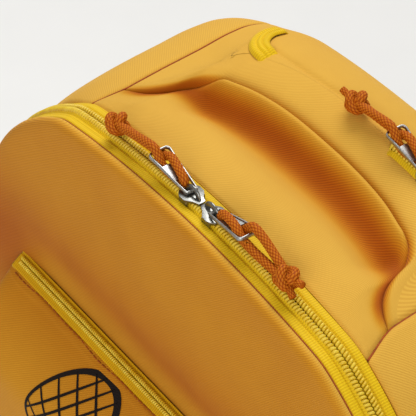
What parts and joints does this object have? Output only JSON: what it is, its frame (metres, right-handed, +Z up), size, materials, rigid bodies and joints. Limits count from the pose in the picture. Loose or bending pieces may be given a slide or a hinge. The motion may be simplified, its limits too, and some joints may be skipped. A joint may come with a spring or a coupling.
{
  "type": "racket tournament bag",
  "caption": "Upright padded racket bag with an arched coil zip across its top, corded metal zip pulls, a zipped lid, a front pocket, shoulder straps and carry handles.",
  "frame": {"origin": "middle of the bag's bounding box at floor level, under its feet", "axes": "+Z up, front pocket faces -Y, shoulder straps face +Y, +X to the right seen from the front"},
  "size_m": [0.3538, 0.2302, 0.77],
  "materials": {
    "shell_fabric": "matt twill",
    "lining_fabric": "matt",
    "zip_tape": "matt ribbed",
    "zip_coil": "satin",
    "nickel_plate": "bright nickel",
    "braided_cord": "braided",
    "webbing": "woven",
    "dark_plastic": "satin",
    "dark_mesh": "matt",
    "stiffener_board": "matt"
  },
  "bodies": {
    "bag": {"front_panel": "shell_fabric", "front_gusset_top": "shell_fabric", "front_gusset_left": "shell_fabric", "front_gusset_right": "shell_fabric", "base_tray": "shell_fabric", "base_stiffener": "stiffener_board", "divider_panel": "lining_fabric", "divider_mesh_pocket": "dark_mesh", "racket_strap": "dark_mesh", "rear_gusset_top": "shell_fabric", "rear_gusset_left": "shell_fabric", "rear_gusset_right": "shell_fabric", "rear_lid": "shell_fabric", "back_panel": "shell_fabric", "back_stiffener": "stiffener_board", "back_pads": "lining_fabric", "main_zip_tape_front": "zip_tape", "main_zip_tape_rear": "zip_tape", "main_zip_coil": "zip_coil", "rear_zip_tape": "zip_tape", "rear_zip_coil": "zip_coil", "pocket_front": "shell_fabric", "pocket_gusset": "shell_fabric", "pocket_zip_tape": "zip_tape", "pocket_zip_coil": "zip_coil", "shoulder_strap_left": "shell_fabric", "shoulder_strap_right": "shell_fabric", "strap_webbing_left": "webbing", "strap_webbing_right": "webbing", "strap_adjuster_left": "dark_plastic", "strap_adjuster_right": "dark_plastic", "strap_top_tabs": "webbing", "strap_base_tabs": "webbing", "side_handle_left": "webbing", "side_handle_right": "webbing", "feet": "dark_plastic", "grab_handle_patches": "webbing"},
    "main_slider_left": {"main_slider_left": "nickel_plate"},
    "main_pull_left": {"main_pull_left": "nickel_plate", "main_cord_left": "braided_cord", "main_knot_left": "braided_cord"},
    "main_slider_right": {"main_slider_right": "nickel_plate"},
    "main_pull_right": {"main_pull_right": "nickel_plate", "main_cord_right": "braided_cord", "main_knot_right": "braided_cord"},
    "rear_slider": {"rear_slider": "nickel_plate"},
    "rear_pull": {"rear_pull": "nickel_plate", "rear_cord": "braided_cord", "rear_knot": "braided_cord"},
    "pocket_slider": {"pocket_slider": "nickel_plate"},
    "pocket_pull": {"pocket_pull": "nickel_plate", "pocket_cord": "braided_cord", "pocket_knot": "braided_cord"},
    "grab_handle": {"grab_handle": "webbing"}
  },
  "joints": [
    {"name": "main_slider_left_travel", "type": "hinge", "parent": "bag", "child": "main_slider_left", "pos_m": [0, -0.06685, 0.296], "axis": [0, 1, 0], "range_deg": [-9, 0]},
    {"name": "main_slider_right_travel", "type": "hinge", "parent": "bag", "child": "main_slider_right", "pos_m": [0, -0.06685, 0.296], "axis": [0, 1, 0], "range_deg": [0, 9]},
    {"name": "main_pull_left_swing", "type": "hinge", "parent": "main_slider_left", "child": "main_pull_left", "pos_m": [-0.00757, -0.06685, 0.75084], "axis": [0, 1, 0], "range_deg": [0, 80]},
    {"name": "main_pull_right_swing", "type": "hinge", "parent": "main_slider_right", "child": "main_pull_right", "pos_m": [0.00757, -0.06685, 0.75084], "axis": [0, -1, 0], "range_deg": [0, 80]},
    {"name": "rear_slider_travel", "type": "hinge", "parent": "bag", "child": "rear_slider", "pos_m": [0, 0.01015, 0.305], "axis": [0, 1, 0], "range_deg": [-9, 0]},
    {"name": "rear_pull_swing", "type": "hinge", "parent": "rear_slider", "child": "rear_pull", "pos_m": [0.04531, 0.01015, 0.75764], "axis": [0, 1, 0], "range_deg": [0, 80]},
    {"name": "pocket_slider_travel", "type": "slide", "parent": "bag", "child": "pocket_slider", "axis": [-1, 0, 0], "range_m": [0, 0.186]},
    {"name": "pocket_pull_swing", "type": "hinge", "parent": "pocket_slider", "child": "pocket_pull", "pos_m": [0.09914, -0.08385, 0.63505], "axis": [0, 0.7986, 0.6018], "range_deg": [0, 80]},
    {"name": "grab_handle_swing", "type": "hinge", "parent": "bag", "child": "grab_handle", "pos_m": [0, 0.06815, 0.68], "axis": [1, 0, 0], "range_deg": [0, 165]}
  ]
}
